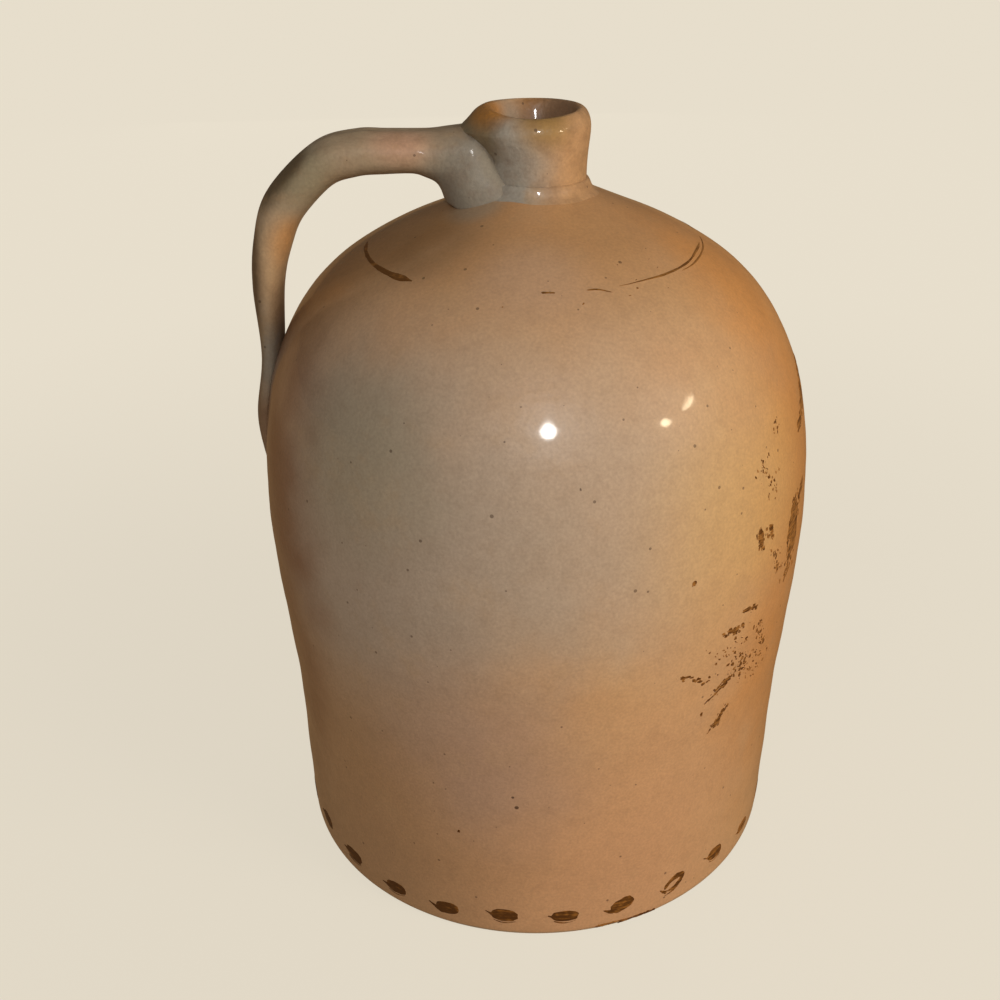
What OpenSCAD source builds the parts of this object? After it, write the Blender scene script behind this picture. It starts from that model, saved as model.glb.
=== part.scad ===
// Five gallon stoneware jug, thrown in two sections and luted together.
// The foot stands on z = 0, the jug's axis is Z, and the handle points to -X.

/* [Body] */
// Height from the foot to the seat that carries the neck
body_h = 375; // [340:1:410]
// Widest diameter, a little above half height
belly_d = 300; // [270:1:330]
// Thickness of the thrown wall
wall_t = 8.5; // [6:0.5:12]
// Thickness of the floor
floor_t = 11; // [8:0.5:16]
// Radius of the corner where the inside wall meets the floor
floor_round = 16; // [8:1:24]
// Width of the worn chamfer round the foot
foot_chamfer_w = 1.4; // [0.8:0.1:3]
// Height of the worn chamfer round the foot
foot_chamfer_h = 3.2; // [1.5:0.1:6]

/* [Seam between body and shoulder] */
// Height of the shoulder, from the seam up to the neck's seat
shoulder_h = 113; // [95:1:135]
// Height of the tongue on the lower body that enters the shoulder
tongue_h = 6; // [3:0.5:10]
// Slip-filled clearance round the tongue and round the neck's spigot
slip_gap = 0.2; // [0.1:0.05:0.5]

/* [Neck] */
// Height of the neck above its seat
neck_h = 40; // [34:1:50]
// Outside diameter of the neck at its base
neck_d = 50.6; // [46:0.2:56]
// Outside diameter of the rolled lip
lip_d = 53.6; // [50:0.2:60]
// Diameter of the lip's crest
crest_d = 40.6; // [37:0.2:44]
// Height of the lip's rounded shoulder, from its widest place to its crest
lip_round_h = 9.5; // [6:0.5:12]
// Height over which the neck swells out to the lip
lip_swell_h = 19; // [10:0.5:24]
// Diameter of the throat that takes the cork
throat_d = 29; // [24:0.5:34]
// Depth of the funnel from the lip's crest down to the throat
funnel_h = 16; // [10:0.5:20]
// Diameter of the spigot that enters the shoulder
spigot_d = 39; // [36:0.5:42]
// Depth of the spigot below the seat
spigot_h = 8; // [5:0.5:10]

/* [Luting coil at the neck] */
// Height of the coil above the neck's seat
coil_h = 5.8; // [3:0.2:8]
// How far the coil stands out from the neck
coil_w = 2.8; // [2:0.2:5]

/* [Handle] */
// Height of the handle's centre line above the neck's seat, where it leaves the neck
handle_root_h = 17; // [12:0.5:22]
// How far the end of the handle's tail lies below the handle's root
handle_drop = 173; // [155:1:190]
// Width of the strap along its top run
handle_w = 36; // [30:1:42]
// Thickness of the strap along its top run
handle_t = 20; // [16:0.5:24]
// Least thickness of the tail where it is smeared out on the wall
tail_edge_t = 1.6; // [1:0.1:3]
// Clearance between the handle and the surfaces it is luted to
handle_gap = 0.3; // [0.2:0.1:0.6]

/* [Painted slip] */
// Thickness of the brushed slip
slip_t = 0.5; // [0.4:0.1:0.8]
// How far the line round the shoulder lies below the neck's seat
line_drop = 26.5; // [18:0.5:36]
// Height that the line covers on the slope
line_rise = 2.2; // [1:0.1:4]
// Height of the centres of the dabs round the foot
dab_z = 15; // [10:0.5:24]
// Width of one dab round the foot
dab_w = 16; // [10:0.5:20]
// Height of one dab
dab_h = 9.5; // [6:0.5:12]
// Number of dabs round the foot
dab_count = 27; // [20:1:32]

/* [Hidden] */
$fn = 160;
// One overrun serves every cut
cut = 1;

// Each colour is fired stoneware under glaze, or the iron slip brushed over it
glaze_tan = [0.70, 0.55, 0.41];
glaze_grey = [0.60, 0.53, 0.44];
slip_brown = [0.29, 0.17, 0.08];

belly_r = belly_d / 2;
neck_r = neck_d / 2;
lip_r = lip_d / 2;
throat_r = throat_d / 2;
spigot_r = spigot_d / 2;
neck_top = body_h + neck_h;
seam_z = body_h - shoulder_h;
handle_root_z = body_h + handle_root_h;
handle_tail_z = handle_root_z - handle_drop;

// The jug's outline, as [share of the belly radius, share of the body height]
outline_shares = [
    [0.947, 0.000], [0.954, 0.132], [0.961, 0.265], [0.984, 0.398], [1.000, 0.530],
    [0.986, 0.647], [0.940, 0.747], [0.850, 0.829], [0.711, 0.895], [0.515, 0.944],
    [0.330, 0.976]
];
// The outline ends where the luting coil meets the shoulder
outline = concat(
    [for (p = outline_shares) [p[0] * belly_r, p[1] * body_h]],
    [[neck_r + coil_w, body_h]]
);
curve_steps = 6;

// A smooth curve through a list of points, passing through each of them
function curve_point(a, b, c, d, t) =
    0.5 * (2 * b + (c - a) * t + (2 * a - 5 * b + 4 * c - d) * t * t + (3 * b - a - 3 * c + d) * t * t * t);
function curve_through(p, steps) = let (n = len(p)) concat(
    [for (i = [0:n - 2], k = [0:steps - 1])
        curve_point(
            i == 0 ? 2 * p[0] - p[1] : p[i - 1], p[i], p[i + 1],
            i == n - 2 ? 2 * p[n - 1] - p[n - 2] : p[i + 2], k / steps)],
    [p[n - 1]]
);

body_curve = curve_through(outline, curve_steps);
// Radius of the jug's outer surface at a height, and the height at a radius above the belly
radius_table = [for (p = body_curve) [p[1], p[0]]];
function body_r(z) = lookup(z, radius_table);
height_table = [for (i = [len(body_curve) - 1:-1:0]) if (body_curve[i][1] > seam_z) body_curve[i]];
function dome_z(r) = lookup(r, height_table);

// The unit normal that points out of the outline at one of its points
function out_normal(p, i) =
    let (a = p[max(i - 1, 0)], b = p[min(i + 1, len(p) - 1)], d = b - a) [d[1], -d[0]] / norm(d);
inner_curve = [for (i = [0:len(body_curve) - 1]) body_curve[i] - wall_t * out_normal(body_curve, i)];
inner_table = [for (p = inner_curve) [p[1], p[0]]];
function inner_r(z) = lookup(z, inner_table);

function between(p, low, high) = [for (q = p) if (q[1] > low && q[1] < high) q];
function reversed(p) = [for (i = [len(p) - 1:-1:0]) p[i]];
function arc(centre, r, from, to, steps) =
    [for (k = [0:steps]) let (a = from + (to - from) * k / steps) centre + r * [cos(a), sin(a)]];

arc_steps = 8;
seam_r = body_r(seam_z);
tongue_r = (seam_r + inner_r(seam_z)) / 2;
tongue_top = seam_z + tongue_h;

// The floor and the wall, up to a tongue that enters the shoulder
module lower_body() {
    corner = [inner_r(floor_t + floor_round) - floor_round, floor_t + floor_round];
    color(glaze_tan) rotate_extrude() polygon(concat(
        [[0, 0], [body_r(0) - foot_chamfer_w, 0], [body_r(foot_chamfer_h), foot_chamfer_h]],
        between(body_curve, foot_chamfer_h, seam_z),
        [[seam_r, seam_z], [tongue_r, seam_z], [tongue_r, tongue_top], [inner_r(tongue_top), tongue_top]],
        reversed(between(inner_curve, floor_t + floor_round, tongue_top)),
        arc(corner, floor_round, 0, -90, arc_steps),
        [[0, floor_t]]
    ));
}

// The shoulder, thrown apart and closed over the lower body, with a hole for the neck's spigot
module shoulder_dome() {
    hole_r = spigot_r + slip_gap;
    recess_r = tongue_r + slip_gap;
    recess_top = tongue_top + slip_gap;
    color(glaze_tan) rotate_extrude() polygon(concat(
        [[seam_r, seam_z]],
        between(body_curve, seam_z, body_h),
        [[neck_r + coil_w, body_h], [hole_r, body_h], [hole_r, body_h - wall_t]],
        reversed([for (q = inner_curve) if (q[0] > hole_r && q[1] > recess_top) q]),
        [[inner_r(recess_top), recess_top], [recess_r, recess_top], [recess_r, seam_z]]
    ));
}

// The outside of the neck and its rolled lip, from the seat up to the crest
crest_r = crest_d / 2;
neck_outside = concat(
    [[neck_r, body_h]],
    [for (k = [0:arc_steps]) let (s = k / arc_steps)
        [
            neck_r + (lip_r - neck_r) * (1 - cos(180 * s)) / 2,
            neck_top - lip_round_h - lip_swell_h * (1 - s)
        ]],
    [for (k = [1:arc_steps]) let (a = 90 * k / arc_steps)
        [crest_r + (lip_r - crest_r) * cos(a), neck_top - lip_round_h * (1 - sin(a))]]
);

// A higher power keeps the funnel wide for longer below the crest
funnel_power = 1.5;

// The neck: rolled lip, funnel and throat, on a spigot that stands in the shoulder's hole
module neck() {
    funnel = [for (k = [1:2 * arc_steps]) let (a = 90 * k / (2 * arc_steps))
        [
            throat_r + (crest_r - throat_r) * (1 - pow(sin(a), funnel_power)),
            neck_top - funnel_h * (1 - cos(a))
        ]];
    spigot_z = body_h - spigot_h;
    color(glaze_grey) rotate_extrude() polygon(concat(
        [[throat_r, spigot_z], [spigot_r, spigot_z], [spigot_r, body_h]],
        neck_outside,
        funnel
    ));
}

coil_steps = 6;
// The coil's outside, from its foot on the seat up to the groove where it ends on the neck
coil_outside = [for (k = [0:coil_steps]) let (a = 90 * k / coil_steps)
    [neck_r + coil_w * cos(a), body_h + coil_h * sin(a)]];

// The coil of clay that seals the foot of the neck
module neck_coil() {
    color(glaze_grey) rotate_extrude() polygon(concat([[neck_r, body_h]], coil_outside));
}

// How far out from the neck the handle's root may lie on the shoulder
root_reach_share = 0.4;

// The jug round the handle's root, grown by the handle's clearance, to be cut from the strap
module root_envelope() {
    reach = neck_r + root_reach_share * (belly_r - neck_r);
    base = dome_z(reach) - handle_t;
    rotate_extrude() polygon(concat(
        [[0, base], [reach, base], [reach, dome_z(reach) + handle_gap]],
        [for (q = body_curve) if (q[1] > seam_z && q[0] < reach) q + [handle_gap, handle_gap]],
        [for (q = coil_outside) if (q[1] > body_h + handle_gap) q + [handle_gap, 0]],
        [for (q = neck_outside) if (q[1] > body_h + coil_h) q + [handle_gap, 0]],
        [[0, neck_top]]
    ));
}
// The strap's stations, from the root on the shoulder to the tail's end on the wall. Each holds
// shares of [reach from neck to wall, height from tail to root, width, thickness], then a tilt.
station_shares = [
    [-0.035, 0.850, 1.50, 2.60, -8], [-0.035, 0.882, 1.50, 2.60, 0], [0.044, 0.942, 1.39, 1.83, 22],
    [0.088, 0.999, 1.22, 1.93, 45], [0.160, 1.004, 1.14, 1.45, 62], [0.222, 1.002, 1.08, 1.17, 80],
    [0.280, 1.007, 1.05, 1.02, 90], [0.400, 1.006, 1.02, 1.04, 90], [0.517, 1.002, 1.00, 1.10, 92],
    [0.658, 0.970, 0.95, 1.12, 112], [0.822, 0.857, 0.89, 1.10, 140], [0.891, 0.740, 0.86, 0.95, 160],
    [0.928, 0.607, 0.83, 0.77, 174], [0.941, 0.393, 0.80, 0.55, 180], [0.981, 0.206, 0.75, 0.65, 183],
    [0.984, 0.075, 0.66, 0.50, 180], [0.980, 0.000, 0.44, 0.22, 180]
];
handle_reach = body_r(handle_tail_z) - neck_r;
stations = [for (s = station_shares) [
    -(neck_r + s[0] * handle_reach), handle_tail_z + s[1] * handle_drop,
    s[2] * handle_w, s[3] * handle_t, s[4]
]];
station_steps = 3;
strap_curve = curve_through(stations, station_steps);
ring_sides = 24;
// A ring's section is a rounded oblong: a higher power makes it squarer
section_power = 2.4;
function rounded(c) = sign(c) * pow(abs(c), 2 / section_power);

// Points of the tail that lie inside the wall are moved straight out until they clear it, those
// of the tail's outer face by its least thickness more
wall_reach_share = 0.7;
function clear_of_wall(p, face) =
    let (r = norm([p[0], p[1]]), need = body_r(p[2]) + handle_gap + tail_edge_t * (1 + face) / 2)
    p[2] > handle_tail_z + wall_reach_share * handle_drop || r >= need
        ? p : [p[0] * need / r, p[1] * need / r, p[2]];

function strap_ring(q) = [for (k = [0:ring_sides - 1])
    let (
        u = 360 * k / ring_sides,
        out = rounded(cos(u)) * q[3] / 2,
        side = -rounded(sin(u)) * q[2] / 2
    )
    clear_of_wall([q[0] + cos(q[4]) * out, side, q[1] + sin(q[4]) * out], cos(u))];
function middle(ring) = [for (i = [0:2]) (min([for (p = ring) p[i]]) + max([for (p = ring) p[i]])) / 2];

// The pulled strap handle, with its root flared over the neck and its tail pressed on the wall
module handle() {
    rings = len(strap_curve);
    all_rings = [for (q = strap_curve) strap_ring(q)];
    points = concat([for (r = all_rings) each r], [middle(all_rings[0]), middle(all_rings[rings - 1])]);
    first_middle = rings * ring_sides;
    sides = [for (i = [0:rings - 2], k = [0:ring_sides - 1]) let (m = (k + 1) % ring_sides) each [
        [i * ring_sides + k, i * ring_sides + m, (i + 1) * ring_sides + m],
        [i * ring_sides + k, (i + 1) * ring_sides + m, (i + 1) * ring_sides + k]
    ]];
    last = (rings - 1) * ring_sides;
    ends = [for (k = [0:ring_sides - 1]) let (m = (k + 1) % ring_sides) each [
        [m, k, first_middle], [last + k, last + m, first_middle + 1]
    ]];
    color(glaze_grey) difference() {
        polyhedron(points, concat(sides, ends), convexity = 4);
        root_envelope();
    }
}

// The strokes of the line round the shoulder, as [start, end] angles
line_strokes = [[-175, -130], [-68, -8], [12, 64], [82, 150]];

// A thin band that follows the jug's outer surface between two heights
function band(low, high) = let (
    face = concat(
        [[body_r(low), low]], between(body_curve, low, high), [[body_r(high), high]])
) concat(face, reversed([for (i = [0:len(face) - 1]) face[i] + slip_t * out_normal(face, i)]));

// The brushed line round the shoulder
module shoulder_line() {
    line_z = body_h - line_drop;
    color(slip_brown) for (s = line_strokes)
        rotate([0, 0, s[0]]) rotate_extrude(angle = s[1] - s[0])
            polygon(band(line_z - line_rise / 2, line_z + line_rise / 2));
}

// Angle of the first dab, how far the dabs stray from the ring, and how often they do it
dab_start = -97;
dab_stray = 1.5;
dab_waves = 5;
// Angle between the points of one dab's outline
dab_step = 15;

// The brushed dabs round the foot
module foot_dabs() {
    reach = body_r(dab_z) + slip_t + cut;
    depth = wall_t;
    color(slip_brown) intersection() {
        rotate_extrude() polygon(band(dab_z - dab_h, dab_z + dab_h));
        for (k = [0:dab_count - 1])
            rotate([0, 0, dab_start + 360 * k / dab_count])
                translate([reach - depth, 0, dab_z + dab_stray * sin(360 * k * dab_waves / dab_count)])
                    rotate([90, 0, 90]) linear_extrude(depth) polygon([
                        for (u = [0:dab_step:360 - dab_step]) [dab_w * cos(u), dab_h * sin(u)] / 2
                    ]);
    }
}

lower_body();
shoulder_dome();
neck();
neck_coil();
handle();
shoulder_line();
foot_dabs();
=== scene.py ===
# %% [markdown]
# # A five gallon stoneware jug
#
# This lesson builds a big crock jug: a thrown body, a full round shoulder, a short neck with a
# rolled lip, a pulled strap handle and some brushed brown slip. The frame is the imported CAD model.
# Every piece is made in metres in that frame, so nothing has to be fitted afterwards.

# %% Load the frame
import math
import bmesh
import bpy
import numpy as np
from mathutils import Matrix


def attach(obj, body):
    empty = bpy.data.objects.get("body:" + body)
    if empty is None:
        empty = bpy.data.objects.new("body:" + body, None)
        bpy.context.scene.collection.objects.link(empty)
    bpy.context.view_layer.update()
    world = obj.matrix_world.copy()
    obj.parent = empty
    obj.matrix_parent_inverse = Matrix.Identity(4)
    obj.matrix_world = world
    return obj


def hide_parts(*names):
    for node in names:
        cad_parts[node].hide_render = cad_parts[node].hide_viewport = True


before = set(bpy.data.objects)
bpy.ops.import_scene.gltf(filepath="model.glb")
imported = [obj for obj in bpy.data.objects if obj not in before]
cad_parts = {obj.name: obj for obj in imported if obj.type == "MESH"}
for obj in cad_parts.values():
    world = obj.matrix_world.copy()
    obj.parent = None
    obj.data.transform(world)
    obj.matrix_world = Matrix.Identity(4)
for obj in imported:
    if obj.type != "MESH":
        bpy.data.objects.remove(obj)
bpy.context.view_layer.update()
print("packed nodes:", sorted(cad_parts))

# %% [markdown]
# ## Sizes
#
# A potter sets a few sizes with calipers: height, widest place, wall, neck and mouth. They are the
# CAD model's sizes, because each piece here takes the place of a CAD node. Angles go round the jug
# from +X. The handle stands at 180 degrees and the camera looks from 270.

# %% Sizes of the jug
MM = 0.001
body_h = 375 * MM
belly_r = 150 * MM
wall = 8.5 * MM
floor_t = 11 * MM
floor_round = 16 * MM
shoulder_h = 113 * MM
tongue_h = 6 * MM
slip_gap = 0.2 * MM
neck_r = 25.3 * MM
throat_r = 14.5 * MM
spigot_r = 19.5 * MM
spigot_h = 8 * MM
bead_w = 2.8 * MM
seam_z = body_h - shoulder_h
print(f"body {body_h / MM:.0f} mm tall, seam at {seam_z / MM:.0f} mm, neck {2 * neck_r / MM:.1f} mm wide")

# %% [markdown]
# ## The outline of the pot
#
# A thrown pot is a profile turned round an axis. The profile could be drawn as a Bezier curve, but
# a short table of shares is easier to read and to change. A smooth curve passes through its points.
# It is then evened out and softened a little, because a glossy glaze shows every kink in a curve.

# %% A smooth curve through points
def curve_through(points, steps):
    """A smooth curve that passes through every point of the list."""
    p = np.array(points, float)
    p = np.vstack([2 * p[0] - p[1], p, 2 * p[-1] - p[-2]])
    t = (np.arange(steps) / steps)[:, None]
    runs = [
        0.5 * (2 * b + (c - a) * t + (2 * a - 5 * b + 4 * c - d) * t**2 + (3 * b - a - 3 * c + d) * t**3)
        for a, b, c, d in zip(p[:-3], p[1:-2], p[2:-1], p[3:])
    ]
    return np.vstack(runs + [p[-2:-1]])


def lengths_along(curve):
    """How far along the curve each of its points lies."""
    return np.concatenate([[0], np.cumsum(np.linalg.norm(np.diff(curve, axis=0), axis=1))])


def evened(curve, step):
    """The same curve with its points the same step apart."""
    along = lengths_along(curve)
    places = np.linspace(0, along[-1], max(2, round(along[-1] / step)) + 1)
    return np.stack([np.interp(places, along, column) for column in curve.T], axis=1)


def softened(curve, rounds):
    """The curve with its kinks relaxed and its two ends kept."""
    soft = curve.copy()
    for _ in range(rounds):
        soft[1:-1] = (soft[:-2] + 2 * soft[1:-1] + soft[2:]) / 4
    return soft


# %% The jug's skin, from the foot to the bead under the neck
curve_steps, skin_step, skin_softening = 24, 1 * MM, 60
# Shares of the belly's radius and of the body's height
outline_shares = [
    (0.947, 0.000), (0.954, 0.132), (0.961, 0.265), (0.984, 0.398), (1.000, 0.530), (0.986, 0.647),
    (0.940, 0.747), (0.850, 0.829), (0.711, 0.895), (0.515, 0.944), (0.330, 0.976),
]
outline = [(r * belly_r, z * body_h) for r, z in outline_shares] + [(neck_r + bead_w, body_h)]
skin = softened(evened(curve_through(outline, curve_steps), skin_step), skin_softening)
skin_along = lengths_along(skin)
skin_r, skin_z = skin.T
slope = np.gradient(skin, axis=0)
skin_out = np.stack([slope[:, 1], -slope[:, 0]], axis=1) / np.linalg.norm(slope, axis=1)[:, None]
inner = skin - wall * skin_out


def radius_at(z):
    """The radius of the skin at a height."""
    return np.interp(z, skin_z, skin_r)


def inner_radius_at(z):
    """The radius of the inner wall at a height."""
    return np.interp(z, inner[:, 1], inner[:, 0])


print(f"skin: {len(skin)} points, {2 * skin_r.max() / MM:.1f} mm wide, {skin_along[-1] / MM:.0f} mm long")

# %% [markdown]
# ## The potter's hand
#
# No thrown wall is a true circle. It leans into an oval, it carries faint throwing rings, and it
# gives where it was lifted wet. A few slow waves say this, kept under a millimetre or so. The same
# rule moves the wall and the slip brushed on it, so that paint never floats or sinks.

# %% How the wall strays from a true circle
def eased(value, low, high):
    """0 below low, 1 above high, and a smooth ramp between them."""
    t = np.clip((value - low) / (high - low), 0, 1)
    return t * t * (3 - 2 * t)


def turned_from(angle, middle):
    """How far an angle lies from another, from -pi to pi."""
    return (angle - middle + math.pi) % (2 * math.pi) - math.pi


oval_depth, lobe_depth = 0.35 * MM, 0.2 * MM
fine_ring_depth, fine_ring_rise, fine_ring_full = 0.03 * MM, 1.9 * MM, 200 * MM
slow_ring_depth, slow_ring_rise = 0.12 * MM, 6.2 * MM
press_depth, press_z, press_tall, press_turn = 1.1 * MM, 120 * MM, 75 * MM, 0.8
true_foot, true_low, true_top = 20 * MM, 350 * MM, 374 * MM


def stray(angle, z):
    """How far the skin stands out from the true circle at an angle and a height, in metres. The foot
    and the neck's seat stay true, and the wall gives a little below the handle's tail."""
    held = eased(z, 0, true_foot) * (1 - eased(z, true_low, true_top))
    oval = oval_depth * np.cos(2 * angle - 0.6 + 8 * z)
    lobes = lobe_depth * np.cos(3 * angle + 1.1 - 13 * z)
    fine_rings = fine_ring_depth * np.sin(z / fine_ring_rise + 0.8 * np.sin(angle + 9 * z))
    slow_rings = slow_ring_depth * np.sin(z / slow_ring_rise + 1.3 * np.sin(angle))
    behind = (turned_from(angle, math.pi) / press_turn) ** 2
    given = -press_depth * np.exp(-behind - ((z - press_z) / press_tall) ** 2)
    return held * (oval + lobes + fine_rings * eased(z, 0, fine_ring_full) + slow_rings + given)


def on_skin(angle, along, lift=0.0):
    """A point on the jug: its angle, its distance up the skin from the foot, its height above it."""
    r, z = np.interp(along, skin_along, skin_r), np.interp(along, skin_along, skin_z)
    out_r, out_z = (np.interp(along, skin_along, column) for column in skin_out.T)
    r = r + stray(angle, z) + lift * out_r
    return np.stack([r * np.cos(angle), r * np.sin(angle), z + lift * out_z], axis=-1)


strayed = stray(*np.meshgrid(np.linspace(0, 2 * math.pi, 90), skin_z))
print(f"the wall strays from {strayed.min() / MM:.1f} to {strayed.max() / MM:.1f} mm")

# %% [markdown]
# ## Turning a profile into a pot
#
# Blender's Screw modifier turns a profile too, but then every ring is a perfect circle. Here each
# point of the profile is turned by hand, and a rule may move it as it goes round. A profile is a
# closed loop, so the wall comes out as a real solid with an inside and an outside.

# %% Mesh and lathe
def placed(name, data):
    """A new object in the scene."""
    made = bpy.data.objects.new(name, data)
    bpy.context.scene.collection.objects.link(made)
    return made


def round_turn(count):
    """The angles of a full turn in even steps."""
    return np.arange(count) * 2 * math.pi / count


def band(low, high, count):
    """The faces between two rings of points, each ring named by its first point."""
    return [[low + k, low + (k + 1) % count, high + (k + 1) % count, high + k] for k in range(count)]


def fan(start, count, tip):
    """The faces between a ring of points and its tip."""
    return [[start + k, start + (k + 1) % count, tip] for k in range(count)]


def make_piece(name, points, faces, sharp=40):
    """A smooth-shaded mesh object whose faces all point outwards."""
    mesh = bpy.data.meshes.new(name)
    mesh.from_pydata(np.asarray(points).tolist(), [], faces)
    work = bmesh.new()
    work.from_mesh(mesh)
    bmesh.ops.recalc_face_normals(work, faces=work.faces)
    work.to_mesh(mesh)
    work.free()
    mesh.shade_smooth()
    mesh.set_sharp_from_angle(angle=math.radians(sharp))
    print(f"{name}: {len(mesh.vertices)} points, {len(mesh.polygons)} faces")
    return placed(name, mesh)


def lathe(name, profile, turns, moved):
    """Turns a closed loop of (radius, height, share) round the axis. moved(angle, r, z, share)
    gives the radius and height that each point takes at each angle."""
    angles = round_turn(turns)
    points, rings, faces = [], [], []
    for r, z, share in profile:
        start = len(points)
        if r == 0:
            points.append((0, 0, z))
            rings.append([start] * turns)
            continue
        rs, zs = moved(angles, r, z, share)
        points.extend(np.stack([rs * np.cos(angles), rs * np.sin(angles), zs + 0 * angles], axis=1))
        rings.append(list(range(start, start + turns)))
    for low, high in zip(rings, rings[1:] + rings[:1]):
        for i in range(turns):
            j = (i + 1) % turns
            corners = list(dict.fromkeys([low[i], low[j], high[j], high[i]]))
            if len(corners) > 2:
                faces.append(corners)
    return make_piece(name, points, faces)


# %% [markdown]
# ## Body and shoulder
#
# A jug this tall is thrown in two sections, because one lump of soft clay would slump. The lower
# section ends in a tongue, and the shoulder is luted over it. The seam is wiped away outside, so
# both walls use the same skin and share the ring of points where they meet. The foot is rounded by
# wear, and the base is turned very slightly hollow so that the jug stands steady.

# %% The lower body
def wall_moved(angle, r, z, share):
    """The potter's hand moves a point of the wall by its share."""
    return r + share * stray(angle, z), z


def skin_between(low, high, every):
    """Points of the outer skin between two heights, each moved fully by the potter's hand."""
    return [(radius_at(z), z, 1) for z in np.arange(low, high, every)]


def inside_between(low, high, every):
    """Points of the inner wall between two heights, from the top down."""
    return [(inner_radius_at(z), z, 0) for z in np.arange(high, low, -every)]


body_turns = 288
row_step, fine_row, inner_step = 2 * MM, 0.4 * MM, 6 * MM
seam_band, wear_top = 1.5 * MM, 4.5 * MM
foot_r = skin_r[0]
seam_r = radius_at(seam_z)
tongue_r = (seam_r + inner_radius_at(seam_z)) / 2
tongue_top = seam_z + tongue_h
hollow = 0.5 * MM
# The base as (radius in mm, share of the hollow) and the worn foot as (inset, height) in mm
base_shares = [(0, 1), (60, 1), (110, 0.8), (128, 0.3)]
foot_wear = [(5, 0.0), (2.6, 0.15), (1.3, 0.75), (0.5, 1.8), (0.1, 3.0)]
base = [(r * MM, share * hollow, 0) for r, share in base_shares]
foot = [(foot_r - inset * MM, z * MM, 1) for inset, z in foot_wear]
corner_r = inner_radius_at(floor_t + floor_round) - floor_round
corner = [
    (corner_r + floor_round * math.cos(a), floor_t + floor_round * (1 - math.sin(a)), 0)
    for a in np.radians(np.arange(0, 91, 15))
]
body_profile = (
    base + foot
    + skin_between(wear_top, seam_z - seam_band, row_step)
    + skin_between(seam_z - 3 * fine_row, seam_z - fine_row / 4, fine_row)
    + [(seam_r, seam_z, 1), (tongue_r, seam_z, 0), (tongue_r, tongue_top, 0)]
    + inside_between(floor_t + floor_round, tongue_top, inner_step)
    + corner + [(0, floor_t, 0)]
)
thrown_body = lathe("thrown_body", body_profile, body_turns, wall_moved)

# %% The shoulder
hole_r = spigot_r + slip_gap
recess_r, recess_top = tongue_r + slip_gap, tongue_top + slip_gap
dome_inside = [(r, z, 0) for r, z in inner[::-6] if r > hole_r and z > recess_top]
shoulder_profile = (
    [(seam_r, seam_z, 1)]
    + skin_between(seam_z + fine_row, seam_z + seam_band, fine_row)
    + [(r, z, 1) for r, z in skin[::2] if z > seam_z + row_step]
    + [(hole_r, body_h, 0), (hole_r, body_h - wall, 0)]
    + dome_inside
    + [(inner_radius_at(recess_top), recess_top, 0), (recess_r, recess_top, 0), (recess_r, seam_z, 0)]
)
thrown_shoulder = lathe("thrown_shoulder", shoulder_profile, body_turns, wall_moved)

# %% [markdown]
# ## Neck, lip and bead
#
# The neck flares slightly and ends in a thick lip, rolled over with a wet finger. Inside, a funnel
# leads down to the throat that takes the cork. The lip of this jug dips towards the front, where
# it was pressed, so its height changes with the angle. A bead of clay under a drawn groove seals
# the foot of the neck. Its lower edge is smeared out on the shoulder.

# %% The neck
neck_turns = 192
neck_steps, neck_row = 8, 0.8 * MM
lip_dip, lip_lift, lip_dent = 3.2 * MM, 1.4 * MM, 0.12 * MM
lip_low, lift_low, lip_high = 399 * MM, 408 * MM, 413 * MM
dent_low, dent_high = 395 * MM, 405 * MM
lip_ridge_r = 21.6 * MM
neck_oval, neck_lobes = 0.25 * MM, 0.15 * MM
dip_front, handle_side = math.radians(-100), math.radians(-177)
pull_turn = 0.72
# How far clay smeared from the handle carries the lip outwards: (height, outside, inside) in mm
lip_pull = MM * np.array([
    (391, 0, 0), (396, 4.5, 0), (400, 8.5, 0), (404.5, 11.3, 0.5), (407.5, 9.2, 1.0),
    (410.3, 6.5, 1.6), (412.9, 4.5, 2.2), (414.5, 3.3, 2.5), (415.0, 2.9, 2.9),
])


def lip_moved(angle, r, z, share):
    """The neck is a little oval, its lip dips at the front, and at the handle it is drawn out."""
    toward = (0.5 + 0.5 * np.cos(turned_from(angle, dip_front))) ** 2
    drawn = np.exp(-((turned_from(angle, handle_side) / pull_turn) ** 2))
    r = r + drawn * np.interp(z, lip_pull[:, 0], lip_pull[:, 1 if r > lip_ridge_r else 2])
    z = z + drawn * lip_lift * eased(z, lift_low, lip_high)
    dip = lip_dip * toward * eased(z, lip_low, lip_high)
    oval = neck_oval * np.cos(2 * angle + 0.5) + neck_lobes * np.cos(3 * angle - 60 * z)
    dent = lip_dent * np.sin(7 * angle + 150 * z) * eased(z, dent_low, dent_high)
    return r + share * (oval + dent), z - share * dip


# The neck's skin from its foot over the lip to the throat, as (radius, height) in mm
neck_shape = [
    (25.3, 376), (25.2, 380.6), (25.25, 386), (25.5, 391), (25.95, 396), (26.45, 400.5), (26.8, 404.5),
    (26.75, 407.5), (26.2, 410.3), (24.9, 412.9), (23.1, 414.5), (21.6, 415.0), (20.4, 414.6),
    (19.4, 413.4), (18.4, 411.2), (17.3, 408), (16.2, 404.2), (15.1, 400), (14.5, 395.5), (14.5, 384),
]
neck_curve = evened(curve_through(np.array(neck_shape) * MM, neck_steps), neck_row)
neck_profile = (
    [(spigot_r, body_h, 0)]
    + [(r, z, 1) for r, z in neck_curve]
    + [(throat_r, body_h - spigot_h, 0), (spigot_r, body_h - spigot_h, 0)]
)
rolled_neck = lathe("rolled_neck", neck_profile, neck_turns, lip_moved)

# %% The bead under the neck
bead_steps, bead_row = 6, 0.5 * MM
bead_slant = 0.25
# The waves of its edge: how many go round, their depth in mm, where they start
bead_waves = [(2, 0.5, 1), (5, 0.3, 0), (9, 0.2, 2)]


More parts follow.
